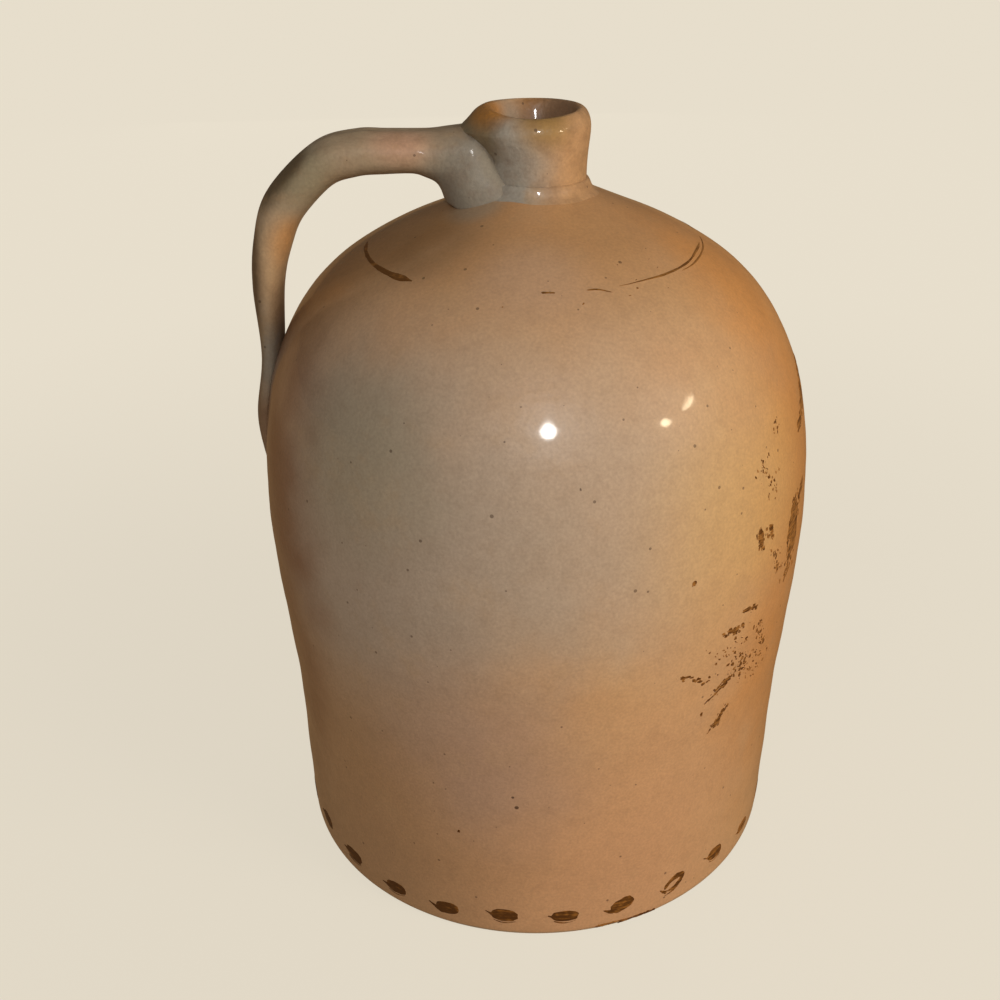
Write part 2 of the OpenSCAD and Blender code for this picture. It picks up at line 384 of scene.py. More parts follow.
def bead_moved(angle, r, z, share):
    """The bead was pushed on with a fingertip, so its lower edge wanders over the shoulder."""
    wander = sum(depth * MM * np.cos(count * angle + start) for count, depth, start in bead_waves)
    return r + share * wander, z - share * wander * bead_slant


# The bead's skin as (radius, height, share), and the part that is hidden in the joint, in mm
bead_shape = [
    (31.4, 373.6, 1), (30.2, 374.5, 1), (29.1, 375.3, 0.9), (28.2, 376.3, 0.7), (27.6, 377.6, 0.4),
    (27.1, 379.0, 0.2), (26.5, 380.1, 0.1), (25.8, 380.7, 0), (24.9, 380.8, 0),
]
bead_hidden = [(23.5, 380), (23.5, 371), (31, 371)]
bead_curve = evened(curve_through(bead_shape, bead_steps) * np.array([MM, MM, 1]), bead_row)
bead_profile = [tuple(p) for p in bead_curve] + [(r * MM, z * MM, 0) for r, z in bead_hidden]
neck_bead = lathe("neck_bead", bead_profile, neck_turns, bead_moved)

# %% [markdown]
# ## The pulled handle
#
# A strap handle is pulled from a lump of wet clay, stuck on below the lip, bent over, and pressed
# on the wall with a thumb. Its section changes all the way: thick and wide at the root, an oval
# along the top, thin and narrow at the tail. So it is swept as a tube of rings, each with its own
# width, thickness and tilt. A second short tube is the clay smeared up over the lip. A voxel
# remesh joins the two, relaxing rounds the joint, and the part inside the pot is cut away.

# %% The strap's stations
root_rise = 17 * MM
handle_root_z = body_h + root_rise
handle_drop = 173 * MM
handle_tail_z = handle_root_z - handle_drop
strap_w, strap_t = 36 * MM, 20 * MM
# Each station is (reach, rise, width, thickness, tilt): four shares and an angle in degrees
station_shares = [
    (-0.035, 0.850, 1.36, 2.60, -8), (-0.035, 0.882, 1.34, 2.60, 0), (0.044, 0.942, 1.22, 1.83, 22),
    (0.088, 0.999, 1.08, 1.93, 45), (0.160, 1.004, 1.05, 1.45, 62), (0.222, 1.002, 1.03, 1.17, 80),
    (0.280, 1.007, 1.05, 1.02, 90), (0.400, 1.006, 1.02, 1.04, 90), (0.517, 1.002, 1.00, 1.10, 92),
    (0.658, 0.970, 0.95, 1.12, 112), (0.822, 0.857, 0.89, 1.10, 140), (0.891, 0.740, 0.86, 0.95, 160),
    (0.928, 0.607, 0.83, 0.77, 174), (0.941, 0.393, 0.80, 0.55, 180), (0.981, 0.206, 0.75, 0.65, 183),
    (0.984, 0.075, 0.66, 0.50, 180), (0.980, 0.000, 0.44, 0.22, 180),
]
handle_reach = radius_at(handle_tail_z) - neck_r
stations = [
    (-(neck_r + out * handle_reach), handle_tail_z + up * handle_drop, wide * strap_w, thick * strap_t, tilt)
    for out, up, wide, thick, tilt in station_shares
]
print(f"strap: {len(stations)} stations, {handle_reach / MM:.0f} mm out, {handle_drop / MM:.0f} mm down")


# %% Sweeping a strap
section_power = 2.4
# The tail is bedded this deep in the wall, and its outer face stands at least this far out of it
bed = 0.8 * MM
tail_edge = 1.9 * MM


def rounded(c):
    """A cosine pulled out towards a rounded oblong."""
    return np.sign(c) * np.abs(c) ** (2 / section_power)


def strap_ring(station, sides, groove):
    """One ring of the strap. Three shallow grooves run down its outer face, left by the fingers."""
    x, z, width, thickness, tilt = station
    u = round_turn(sides)
    face, side = rounded(np.cos(u)), rounded(np.sin(u))
    out = face * thickness / 2 - groove * np.cos(1.5 * math.pi * side) ** 2 * (face > 0) * np.abs(face)
    tilt = math.radians(tilt)
    ring = [x + math.cos(tilt) * out, -side * width / 2, z + math.sin(tilt) * out]
    return np.stack(ring, axis=1), np.cos(u)


def clear_of_wall(ring, face):
    """Where the tail lies in the wall, its inner face is bedded in it and its outer face stays proud."""
    r = np.hypot(ring[:, 0], ring[:, 1])
    need = radius_at(ring[:, 2]) - bed + (bed + tail_edge) * (1 + face) / 2
    low = ring[:, 2] < handle_tail_z + 0.7 * handle_drop
    grow = np.where(low & (r < need), need / r, 1)
    return ring * np.stack([grow, grow, np.ones_like(grow)], axis=1)


def sweep(name, path, steps, sides, groove, bedded):
    """A closed tube through the stations of a path, with grooves of one depth. A bedded one has its tail
    set in the wall."""
    points, faces = [], []
    rows = curve_through(path, steps)
    for row in rows:
        ring, face = strap_ring(row, sides, groove)
        points.extend(clear_of_wall(ring, face) if bedded else ring)
    last = (len(rows) - 1) * sides
    for start in range(0, last, sides):
        faces += band(start, start + sides, sides)
    for start in (0, last):
        points.append(np.mean(points[start:start + sides], axis=0))
        faces += fan(start, sides, len(points) - 1)
    return make_piece(name, points, faces)


# %% The strap and the clay smeared up over the lip
groove_depth = 0.5 * MM
strap_rows, strap_sides = 10, 64
smear_rows, smear_sides = 8, 48
strap = sweep("strap_handle", stations, strap_rows, strap_sides, groove_depth, True)
# The smear's upper face, as (x, z, width, thickness, tilt) with sizes in mm and the tilt in degrees
smear_face = [
    (-46, 403.5, 30, 14, 95), (-38.5, 404.7, 30, 14, 104), (-34, 406.4, 28, 12, 118),
    (-30, 407.8, 24, 9, 110), (-26, 408.5, 16, 5, 100),
]


def under_face(x, z, width, thickness, tilt):
    """A station whose upper face, and not its middle, passes through a place."""
    lean, half = math.radians(tilt), thickness / 2
    middle_x, middle_z = x - half * math.cos(lean), z - half * math.sin(lean)
    return middle_x * MM, middle_z * MM, width * MM, thickness * MM, tilt


smear = sweep("smear", [under_face(*s) for s in smear_face], smear_rows, smear_sides, 0, False)


# %% Joining, relaxing and cutting
def applied(piece):
    """Bakes a piece's modifiers into its mesh."""
    finished = bpy.data.meshes.new_from_object(piece.evaluated_get(bpy.context.evaluated_depsgraph_get()))
    piece.modifiers.clear()
    piece.data = finished
    return piece


def merged(piece, other, voxel):
    """Joins two overlapping pieces into one even skin."""
    work = bmesh.new()
    work.from_mesh(piece.data)
    work.from_mesh(other.data)
    work.to_mesh(piece.data)
    work.free()
    bpy.data.objects.remove(other)
    even = piece.modifiers.new("even", "REMESH")
    even.mode = "VOXEL"
    even.voxel_size = voxel
    return applied(piece)


def relaxed(piece, rounds, share):
    """Moves each point towards the mean of its neighbours. share(points) says how strongly."""
    mesh = piece.data
    points = np.empty(len(mesh.vertices) * 3)
    mesh.vertices.foreach_get("co", points)
    points = points.reshape(-1, 3)
    ends = np.empty(len(mesh.edges) * 2, int)
    mesh.edges.foreach_get("vertices", ends)
    a, b = ends.reshape(-1, 2).T
    count = np.bincount(a, minlength=len(points)) + np.bincount(b, minlength=len(points))
    pull = share(points)[:, None]
    for _ in range(rounds):
        sums = [
            np.bincount(a, points[b, i], len(points)) + np.bincount(b, points[a, i], len(points))
            for i in range(3)
        ]
        points += pull * (np.stack(sums, axis=1) / count[:, None] - points)
    mesh.vertices.foreach_set("co", points.ravel())
    mesh.update()
    return piece


joint_voxel = 0.8 * MM
relax_share, all_rounds, root_rounds = 0.5, 6, 45
root_middle = np.array([-38 * MM, 0, 390 * MM])
root_near, root_far = 16 * MM, 30 * MM


def near_root(points):
    """Full strength at the root, none away from it."""
    far = np.linalg.norm(points - root_middle, axis=1)
    return relax_share * (1 - eased(far, root_near, root_far))


strap = merged(strap, smear, joint_voxel)
relaxed(strap, all_rounds, lambda points: np.full(len(points), relax_share))
relaxed(strap, root_rounds, near_root)
print(f"strap and smear, joined: {len(strap.data.vertices)} points")

# %% Cutting the strap to the pot
cut_share, cut_bottom, strap_sharp = 0.42, 330 * MM, 50
cut_r = neck_r + cut_share * (belly_r - neck_r)
cut_skin = [
    (r - bed * out_r, z - bed * out_z)
    for (r, z), (out_r, out_z) in zip(skin[::4], skin_out[::4]) if r < cut_r and z > seam_z
]
cut_neck = [(r * MM - bed, z * MM) for r, z in neck_shape[1:9]]
# Over the lip the cutter stays just inside the rolled edge: (radius, height) in mm
cut_lip = [(23.9, 412.1), (22.4, 413.6), (20.8, 414.1), (19, 413), (0, 413)]
cutter_profile = (
    [(0, cut_bottom, 0), (cut_skin[0][0], cut_bottom, 0)]
    + [(r, z, 0) for r, z in cut_skin + cut_neck]
    + [(r * MM, z * MM, 0) for r, z in cut_lip]
)
cutter = lathe("cutter", cutter_profile, neck_turns, lambda angle, r, z, share: (r + 0 * angle, z))
cut = strap.modifiers.new("cut", "BOOLEAN")
cut.operation = "DIFFERENCE"
cut.solver = "EXACT"
cut.object = cutter
applied(strap)
bpy.data.objects.remove(cutter)
strap.data.shade_smooth()
strap.data.set_sharp_from_angle(angle=math.radians(strap_sharp))
print(f"strap_handle, cut: {len(strap.data.vertices)} points")

# %% [markdown]
# ## Brushed slip
#
# The decoration is iron slip: a fine brown clay brushed on before firing. It lies on the glaze like
# a thin skin, fat in the middle of a stroke and ragged at its edge. A picture on the wall could
# show it, but a real skin keeps its own outline from close by and takes its own gloss. So each dab
# is a flat blob and each line a flat ribbon, both laid on the skin of the pot.

# %% Ragged edges
chance = np.random.default_rng(7)
whole_turn = 6.28


def ragged(count, rough):
    """A closed run of factors near 1, as the edge of a brush mark has."""
    u = round_turn(count)
    waves = sum(
        chance.normal() / (k + 1) * np.cos(k * u + chance.uniform(0, whole_turn))
        for k in range(2, count // 4)
    )
    return 1 + rough * waves


# %% Marks of slip
# A blob's rings and a ribbon's lanes, as (share of the half width, lift in mm)
layers = [(1.0, -0.12), (0.95, 0.06), (0.8, 0.13), (0.5, 0.16)]
ribbon = [(-1, -0.12), (-0.85, 0.07), (-0.4, 0.14), (0.4, 0.14), (0.85, 0.07), (1, -0.12), (0, -0.3)]
blob_top, blob_bottom = 0.17, -0.3


class Paint:
    """Collects the points and faces of many marks, so that they become one piece."""

    def __init__(self):
        self.points, self.faces = [], []

    def blob(self, angle, along, sideways, upwards):
        """A thin closed blob whose edge runs through the (sideways, upwards) points."""
        count, start = len(sideways), len(self.points)
        r = np.interp(along, skin_along, skin_r)
        side_middle, up_middle = sideways.mean(), upwards.mean()
        for share, lift in layers:
            side = side_middle + share * (sideways - side_middle)
            up = up_middle + share * (upwards - up_middle)
            self.points.extend(on_skin(angle + side / r, along + up, lift * MM))
        for lift in (blob_top, blob_bottom):
            self.points.append(on_skin(angle + side_middle / r, along + up_middle, lift * MM))
        top = start + len(layers) * count
        for low in range(start, top - count, count):
            self.faces += band(low, low + count, count)
        self.faces += fan(top - count, count, top) + fan(start, count, top + 1)

    def stroke(self, angle, along, side, up, half):
        """A thin closed ribbon. Its middle runs through the (side, up) points, half is half its width."""
        start, across, rows = len(self.points), len(ribbon), len(side)
        r = np.interp(along, skin_along, skin_r)
        run = np.gradient(np.stack([side, up]), axis=1)
        run = run / np.linalg.norm(run, axis=0)
        lanes = []
        for share, lift in ribbon:
            sideways, upwards = side - share * half * run[1], up + share * half * run[0]
            lanes.append(on_skin(angle + sideways / r, along + upwards, lift * MM))
        self.points.extend(np.stack(lanes, axis=1).reshape(-1, 3))
        last = start + (rows - 1) * across
        for low in range(start, last, across):
            self.faces += band(low, low + across, across)
        self.faces += [[low + k for k in range(across)] for low in (start, last)]

    def piece(self, name):
        """Turns the marks that were collected into one mesh object."""
        return make_piece(name, self.points, self.faces, 75)


# %% Places and widths of strokes
def along_at(z):
    """How far up the skin a height lies."""
    return np.interp(z, skin_z, skin_along)


def leaned(side, up, lean):
    """The same points turned by an angle."""
    return side * math.cos(lean) - up * math.sin(lean), side * math.sin(lean) + up * math.cos(lean)


def widths(count, start, middle, end, rough):
    """Half widths along a stroke, with a slow random drift."""
    t = np.linspace(0, 1, count)
    plain = np.interp(t, [0, 0.08, 0.5, 0.92, 1], [0.3 * start, start, middle, end, 0.3 * end])
    drift = np.convolve(chance.normal(size=count + 12), np.ones(13) / 13, "valid")
    return plain * np.clip(1 + rough * 3 * drift, 0.3, 1.8) * MM / 2


# %% [markdown]
# ## Dabs round the foot
#
# A loaded brush touched the turning pot again and again. Each touch is a fat blob that leans a
# little, with a tail where the brush lifts. A few were turned on the spot and left a pale hole. They
# could be one shape copied round, but a row of true brush marks has no two alike.

# %% One dab
dab_w, dab_h = 14.8, 9.2
edge_points, curl_points, tail_points, hair_points = 48, 44, 16, 24
edge_turn = round_turn(edge_points)


def curled_dab(paint, angle, along, w, h, lean, thick):
    """The brush went round once and left a pale hole."""
    half = thick * MM
    turn = np.radians(np.linspace(205, 525, curl_points))
    side, up = leaned(np.cos(turn) * (w / 2 - half * 0.8), np.sin(turn) * (h / 2 - half * 0.7), lean)
    paint.stroke(angle, along, side, up, widths(curl_points, 1.5 * thick, 2.5 * thick, 1.9 * thick, 0.3))


def full_dab(paint, angle, along, w, h, lean):
    """Two ragged blobs, the smaller one a little aside."""
    for grow, shift in ((1.0, 0.0), (0.8, 0.9)):
        edge = ragged(edge_points, 0.08)
        side = rounded(np.cos(edge_turn)) * grow * w / 2 * edge + shift * chance.uniform(-1.5, 1.5) * MM
        up = rounded(np.sin(edge_turn)) * grow * h / 2 * edge + shift * chance.uniform(-1, 1) * MM
        paint.blob(angle, along, *leaned(side, up, lean))


def dab_tail(paint, angle, along, w, lean):
    """The brush lifts off to the left and leaves a tail that curves away."""
    t = np.linspace(0, 1, tail_points)
    reach, drop = chance.uniform(1.5, 4) * MM, chance.uniform(-1.5, 3.5) * MM
    side = -(w / 2 - 3 * MM) - (3 * MM + reach) * t
    up = -lean * w / 2 - 0.8 * MM + drop * t**1.5
    paint.stroke(angle, along, side, up, widths(tail_points, 3.6, 2.0, 0.9, 0.3))


def stray_hairs(paint, angle, along, w, h, lean):
    """Stray hairs of the brush draw a thin arc under the dab."""
    t = np.linspace(-1, 1, hair_points)
    side, up = t * w * 0.4, -h / 2 - (1.0 - 1.6 * t**2) * MM + lean * t * w * 0.4
    paint.stroke(angle, along, side, up, widths(hair_points, 0.5, chance.uniform(0.6, 1.3), 0.4, 0.4))


# %% The dabs round the foot
dab_count = 27
dab_first = math.radians(-97)
seen_heights = {0: 15.1, 1: 14.5, 2: 15.5, 3: 16.8, 4: 18.8, 5: 14.6, 23: 17.7, 24: 14.5, 25: 12.3, 26: 12.5}
seen_leans = {2: 0.42, 3: 0.5}
curled = {3: 1.6, 8: 1.9, 14: 1.7, 19: 2.1}
paint = Paint()
for k in range(dab_count):
    angle = dab_first + k * 2 * math.pi / dab_count + math.radians(chance.normal() * 0.3)
    z = seen_heights.get(k, 15 + 1.5 * math.sin(2 * math.pi * k * 5 / dab_count)) * MM
    along = along_at(z)
    w, h = dab_w * MM * chance.uniform(0.92, 1.06), dab_h * MM * chance.uniform(0.88, 1.04)
    lean = seen_leans.get(k, chance.normal() * 0.08 + 0.04)
    if k in curled:
        curled_dab(paint, angle, along, w, h, lean, curled[k])
    else:
        full_dab(paint, angle, along, w, h, lean)
    dab_tail(paint, angle, along, w, lean)
    if k % 3 != 2:
        stray_hairs(paint, angle, along, w, h, lean)
brushed_dabs = paint.piece("brushed_dabs")

# %% [markdown]
# ## A line round the shoulder
#
# The line was brushed while the wheel turned, and the brush ran dry and was set down again. So it is
# a few strokes, some of them doubled, in places given one by one. A slow random drift in width keeps
# them from looking drawn with a pen.

# %% The line round the shoulder
# Each stroke runs through (angle in degrees, height in mm, width in mm)
line_runs = [
    [(-176, 348.9, 2.2), (-169, 348.3, 3.0), (-156, 347.6, 2.3), (-147, 347.3, 2.6),
     (-138, 347.2, 4.2), (-130.5, 347.3, 2.6)],
    [(-88.5, 348.2, 1.5), (-84.5, 348.1, 1.2)],
    [(-75, 348.4, 0.5), (-71.5, 348.3, 1.2), (-67.5, 347.0, 0.4)],
    [(-64.5, 348.5, 0.5), (-55.6, 348.9, 1.0), (-46, 349.0, 1.5), (-34.6, 349.4, 1.3),
     (-28, 349.8, 1.1), (-20, 350.4, 1.5), (-9, 350.5, 1.0)],
    [(-38, 348.3, 0.4), (-31, 348.4, 0.8), (-22, 348.9, 1.1), (-7, 349.5, 0.8), (0, 350.0, 0.4)],
    [(12, 349.6, 1.0), (24, 349.0, 1.9), (38, 348.2, 2.6), (52, 348.4, 1.8), (64, 348.9, 0.7)],
    [(84, 348.2, 0.9), (100, 347.7, 1.8), (117, 347.5, 2.8), (134, 348.1, 1.8), (150, 348.6, 0.6)],
    [(96, 350.2, 0.4), (108, 349.7, 1.0), (121, 349.9, 0.4)],
]
line_steps, line_drift = 16, 0.16
paint = Paint()
for points in line_runs:
    angle, z, width = curve_through(points, line_steps).T
    r = radius_at(z * MM)
    along = along_at(z * MM)
    side = np.radians(angle - angle[0]) * r[0]
    drift = widths(len(angle), 2, 2, 2, line_drift)
    paint.stroke(np.radians(angle[0]), along[0], side, along - along[0], drift * width / 2)
line_paint = paint.piece("line_strokes")

# %% [markdown]
# ## Worn marks
#
# On the right the glaze carries what is left of some brushed paint: a few short solid strokes and
# many flecks where the rest has flaked away. To draw each fleck by hand would take too long, so a
# random rule scatters them in patches, each with its own place, spread and largest fleck.

# %% The worn marks on the right
# Solid strokes that are left: from (angle, height) to (angle, height), and the width in mm
worn_strokes = [
    (-27.4, 233, -28.2, 207, 10.0), (-28.6, 214, -29.2, 193, 6.0), (-25.0, 228, -26.6, 203, 5.0),
    (-30.4, 224, -30.6, 204, 3.6), (-48.2, 151, -53.7, 143, 4.8), (-48.0, 131, -50.5, 120.5, 4.0),
    (-49.8, 151.5, -52.0, 147.5, 1.8), (-46.8, 191, -42.6, 188.4, 1.8), (-12.0, 281, -17.5, 272, 8.0),
    (-17.0, 275, -23.5, 266, 7.0), (-9.0, 289, -14.0, 283, 8.0), (-21.0, 238, -23.0, 231, 6.0),
    (-43.1, 234, -42.1, 222, 3.6), (-39.8, 233, -38.2, 227, 3.8), (-50.6, 183.5, -47.6, 180.5, 4.8),
    (-77.0, 2.6, -68.0, 3.0, 1.6), (-71.5, 2.0, -62.5, 2.4, 1.2),
]
# Patches of flecks: from (angle, height) to (angle, height), spread, how many, the largest in mm
worn_patches = [
    (-8, 290, -16, 279, 2.5, 22, 3.0), (-12, 281, -23, 266, 2.5, 30, 3.0),
    (-20, 239, -24, 230, 2, 14, 2.6), (-35, 283, -35.7, 278, 1.8, 12, 1.3),
    (-41.9, 268, -38, 247, 3.5, 46, 1.1), (-26.0, 236, -29.4, 192, 4.0, 110, 2.0),
    (-43.0, 234.5, -42.2, 221, 1.6, 22, 1.7), (-40.4, 233, -38.2, 224, 1.6, 20, 1.7),
    (-37.5, 217, -34.6, 201, 2.6, 44, 1.5), (-46.8, 191.5, -42, 188, 1.4, 18, 1.5),
    (-40, 176, -37, 158, 2.6, 36, 1.7), (-51.4, 183, -46.4, 181, 2.2, 26, 1.9),
    (-51, 175, -37.5, 142, 7.0, 120, 1.3), (-62, 167.6, -53.5, 156.5, 1.3, 28, 1.7),
    (-47.5, 152, -54.4, 142, 2.4, 34, 1.5), (-47.0, 133, -51.4, 119, 2.0, 24, 1.4),
    (-54.9, 136.5, -55.1, 135, 0.4, 3, 2.0), (-45, 162, -44, 146, 3.5, 30, 1.6),
    (-60.3, 221.3, -60.4, 220.8, 0.2, 2, 1.7), (-78, 3.4, -62, 3.0, 0.6, 16, 1.2),
    (-106.6, 72.9, -106.6, 72.6, 0.2, 2, 1.3), (-95, 340, -45, 352, 12, 12, 0.8),
]
stroke_points, fleck_points = 30, 20
fleck_turn = round_turn(fleck_points)
paint = Paint()
for first, low, last, high, width in worn_strokes:
    r = radius_at((low + high) / 2 * MM)
    t = np.linspace(0, 1, stroke_points)
    reach, rise = math.radians(last - first) * r, along_at(high * MM) - along_at(low * MM)
    side, up = reach * t, rise * t + 0.8 * MM * np.sin(3 * t) * np.sign(reach)
    half = widths(stroke_points, width * 0.7, width, width * 0.5, 0.7)
    paint.stroke(math.radians(first), along_at(low * MM), side, up, half)
for first, low, last, high, spread, count, largest in worn_patches:
    r = radius_at(low * MM)
    lean = math.atan2(along_at(high * MM) - along_at(low * MM), math.radians(last - first) * r)
    for _ in range(count):
        t = chance.uniform()
        angle = math.radians(first + (last - first) * t) + chance.normal() * spread * MM / r
        along = along_at((low + (high - low) * t) * MM) + chance.normal() * spread * 0.6 * MM
        size = largest * MM * chance.uniform(0.25, 1) ** 1.4
        thin = chance.uniform(0.3, 0.8)
        turn = lean + chance.normal() * 0.35
        edge = np.clip(ragged(fleck_points, 0.3), 0.4, 1.7)
        side, up = np.cos(fleck_turn) * size * edge, np.sin(fleck_turn) * size * thin * edge
        paint.blob(angle, max(along, 2 * MM), *leaned(side, up, turn))
worn_flecks = paint.piece("worn_flecks")

# %% [markdown]
# ## A way to write glaze recipes
#
# A glaze in Blender is a net of nodes. Written out one by one they hide the idea, so one small
# class wraps a socket and lets sums be written as sums. Numbers and masks go through Math nodes,
# colours and places through Vector Math and Mix nodes. Every other node comes from its one method.

# %% Sums with sockets
class Wire:
    """One output socket of a node tree, ready to be used in a sum. Without a socket it stands for the
    empty tree, and its node method makes the first node."""

    def __init__(self, tree, socket=None):
        self.tree, self.socket = tree, socket

    def node(self, kind, settings, sockets, out=0):
        """Adds a node, sets its settings first and its sockets next, and gives back one output."""
        made = self.tree.nodes.new("ShaderNode" + kind)
        for key, value in settings.items():
            setattr(made, key, value)
        for key, value in sockets.items():
            socket = made.inputs[key]
            if isinstance(value, Wire):
                self.tree.links.new(value.socket, socket)
            elif socket.type == "VECTOR" and not hasattr(value, "__len__"):
                socket.default_value = (value,) * 3
            elif socket.type == "RGBA" and len(value) == 3:
                socket.default_value = (*value, 1)
            else:
                socket.default_value = value
        return Wire(self.tree, made.outputs[out])

    def sum_of(self, operation, *terms):
        """A Math node for numbers alone, and a Vector Math node as soon as a term is more than that."""
        many = any(isinstance(t, Wire) and t.socket.type != "VALUE" for t in terms)
        return self.node("VectorMath" if many else "Math", {"operation": operation}, dict(enumerate(terms)))

    def __add__(self, other):
        return self.sum_of("ADD", self, other)

    def __radd__(self, other):
        return self.sum_of("ADD", other, self)

    def __sub__(self, other):
        return self.sum_of("SUBTRACT", self, other)

    def __rsub__(self, other):
        return self.sum_of("SUBTRACT", other, self)

    def __mul__(self, other):
        return self.sum_of("MULTIPLY", self, other)

    def __rmul__(self, other):
        return self.sum_of("MULTIPLY", other, self)

    def __pow__(self, other):
        return self.sum_of("POWER", self, other)


# %% The few nodes that glazes need
def clouds(place, size, detail=3.0, rough=0.5):
    """Soft clouds of a size in metres, mostly between 0.3 and 0.7."""
    values = {"Vector": place, "Scale": 1 / size, "Detail": detail, "Roughness": rough}
    return place.node("TexNoise", {}, values)


def fade(value, low, high):
    """0 where the value is below low, 1 where it is above high, smooth between them."""
    values = {"Value": value, "From Min": low, "From Max": high}
    return value.node("MapRange", {"interpolation_type": "SMOOTHSTEP"}, values)


def blend(mask, first, second):
    """The first colour where the mask is 0 and the second where it is 1."""
    return mask.node("Mix", {"data_type": "RGBA"}, {0: mask, 6: first, 7: second}, 2)


def spots(place, spacing, largest):
    """Round spots, one to a cell. Each has its own size, and most are small."""
    cell = {"Vector": place, "Scale": 1 / spacing}
    far = place.node("TexVoronoi", {}, cell, "Distance")
    luck = place.node("TexVoronoi", {}, cell, "Color")
    luck = place.node("SeparateColor", {}, {0: luck})
    return fade(luck**4 * (largest / spacing) - far, 0, 0.12 * largest / spacing)


def axis(place, index):
    """One coordinate of the place: 0, 1 or 2."""
    return place.node("SeparateXYZ", {}, {0: place}, index)


def length(place):
    """How far a place lies from the middle of the frame."""
    return place.node("VectorMath", {"operation": "LENGTH"}, {0: place}, "Value")


def paint_tone(red, green, blue):
    """A colour as a painter's eye sees it, from 0 to 255, turned into light."""
    return tuple(((c / 255 + 0.055) / 1.055) ** 2.4 for c in (red, green, blue))


def tinted(tone, by):
    """A tone with its red, green and blue each multiplied by a number."""
    return tuple(c * k for c, k in zip(tone, by))


def bumped(height):
    """A normal bent by a height in metres."""
    return height.node("Bump", {}, {"Strength": 1.0, "Distance": 1.0, "Height": height})


# %% A material and its shader
def finish(name, sheen):
    """A material with one Principled shader, and the place on the piece. sheen holds the sockets that
    stay the same all over."""
    material = bpy.data.materials.new(name)
    material.use_nodes = True
    shader = material.node_tree.nodes["Principled BSDF"]
    for key, value in sheen.items():
        shader.inputs[key].default_value = value
    return material, shader, Wire(material.node_tree).node("TexCoord", {}, {}, "Object")


def feed(material, shader, wires):
    """Links each wire to the shader's socket of that name."""
    for key, wire in wires.items():
        material.node_tree.links.new(wire.socket, shader.inputs[key])
    print(f"{material.name}: {len(material.node_tree.nodes)} nodes")


# %% [markdown]
# ## The stoneware glaze
#
# This glaze is thin and glossy over a tan body. The kiln has flashed it: the side by the handle came
# out grey and olive, the far side a warm orange tan, and the lower wall pinkish. A few of the clouds
# of colour are painted light and shade instead. There is painted shade partly in the dark brown of
# the left edge, on the outer face of the handle and in the back of the mouth. There is a painted warm
# glow on the left of the lip. The grey beside the handle's root is made paler against its shade.
# Iron in the clay burns through as fine dark specks. The skin has the faint orange peel of a salt or
# slip glaze, and a few pits. All of it hangs on the place in the pot, so both sections of the wall
# match.

# %% A recipe for glazed stoneware
iron_speck = paint_tone(66, 42, 26)
bare_clay = paint_tone(176, 144, 108)
dull_patch, pale_patch = paint_tone(122, 88, 58), paint_tone(208, 170, 122)
peel_depth, wave_depth, grain_depth = 0.11 * MM, 0.22 * MM, 0.05 * MM
speck_rise, pit_depth = 0.03 * MM, 0.1 * MM
mouth_r, mouth_inner_r = 21.2 * MM, 19.6 * MM
bare_top, glaze_bottom = 3.2 * MM, 1.8 * MM


def stoneware(name, ground, flashes_and_painted_light, depth=1.0, gloss=1.0, rugged=1.0, mouth=None):
    """Glossy glaze over iron-bearing clay. ground is its main colour. Each flash is a soft cloud of
    another colour: its middle and the radii where it is full and where it ends, in mm, its colour,
    its share, and how much heights count (0.5 makes it twice as tall as it is wide). Most flashes
    are the kiln's colours, and a few are painted shade and painted light. A smaller
    depth is darker, a smaller gloss is duller, and a rugged glaze is more mottled and uneven. A
    mouth is glazed in its own colour, inside the lip."""
    material, shader, place = finish(name, {"IOR": 1.5, "Coat Roughness": 0.08})
    broad, patches = clouds(place, 90 * MM, 2), clouds(place, 35 * MM, 3)
    mottle, grain = clouds(place, 8 * MM, 4, 0.6), clouds(place, 1.4 * MM, 2)
    wander = (broad - 0.5) * 0.09 + (patches - 0.5) * 0.05
    colour = blend(fade(patches, 0.3, 0.75), ground, tinted(ground, (0.93, 0.9, 0.92)))
    if mouth:
        within = fade(length(place * (1, 1, 0)) + (mottle - 0.5) * (3 * MM), mouth_r, mouth_inner_r)
        colour = blend(within * fade(patches, 0.2, 0.45), colour, paint_tone(*mouth))
    for middle, full, end, tone, share, squash in flashes_and_painted_light:
        far = length((place - tuple(c * MM for c in middle)) * (1, 1, squash))
        cloud = fade(far + wander * (end * MM * 6), end * MM, full * MM) * share
        colour = blend(cloud, colour, paint_tone(*tone))
    colour = blend(fade(mottle, 0.4, 0.75) * (0.12 * rugged), colour, dull_patch)
    colour = blend(fade(patches + mottle * 0.5, 0.82, 0.98) * (0.09 * rugged), colour, pale_patch)
    colour = colour * ((0.81 + grain * 0.38) * depth)
    fine, coarse = spots(place, 6.5 * MM, 1.0 * MM), spots(place + 3.1, 34 * MM, 2.1 * MM)
    dark = 1 - (1 - fine * 0.6) * (1 - coarse * 0.85)
    colour = blend(dark, colour, iron_speck)
    foot_line = fade(axis(place, 2) + (mottle - 0.5) * (4 * MM), bare_top, glaze_bottom)
    colour = blend(foot_line, colour, bare_clay)
    rough = 0.36 + mottle * 0.14 + (1 - gloss) * 0.12 + dark * 0.1 + foot_line * 0.3
    peel = clouds(place, 3 * MM, 2) * (peel_depth * rugged) + clouds(place, 12 * MM, 2) * wave_depth
    pits = spots(place + 7.7, 13 * MM, 1.2 * MM)
    height = peel + grain * (grain_depth * rugged) + dark * speck_rise - pits * pit_depth
    coat = (1 - foot_line) * (0.6 * gloss)
    feed(material, shader, {
        "Base Color": colour, "Roughness": rough, "Normal": bumped(height), "Coat Weight": coat,
    })
    return material
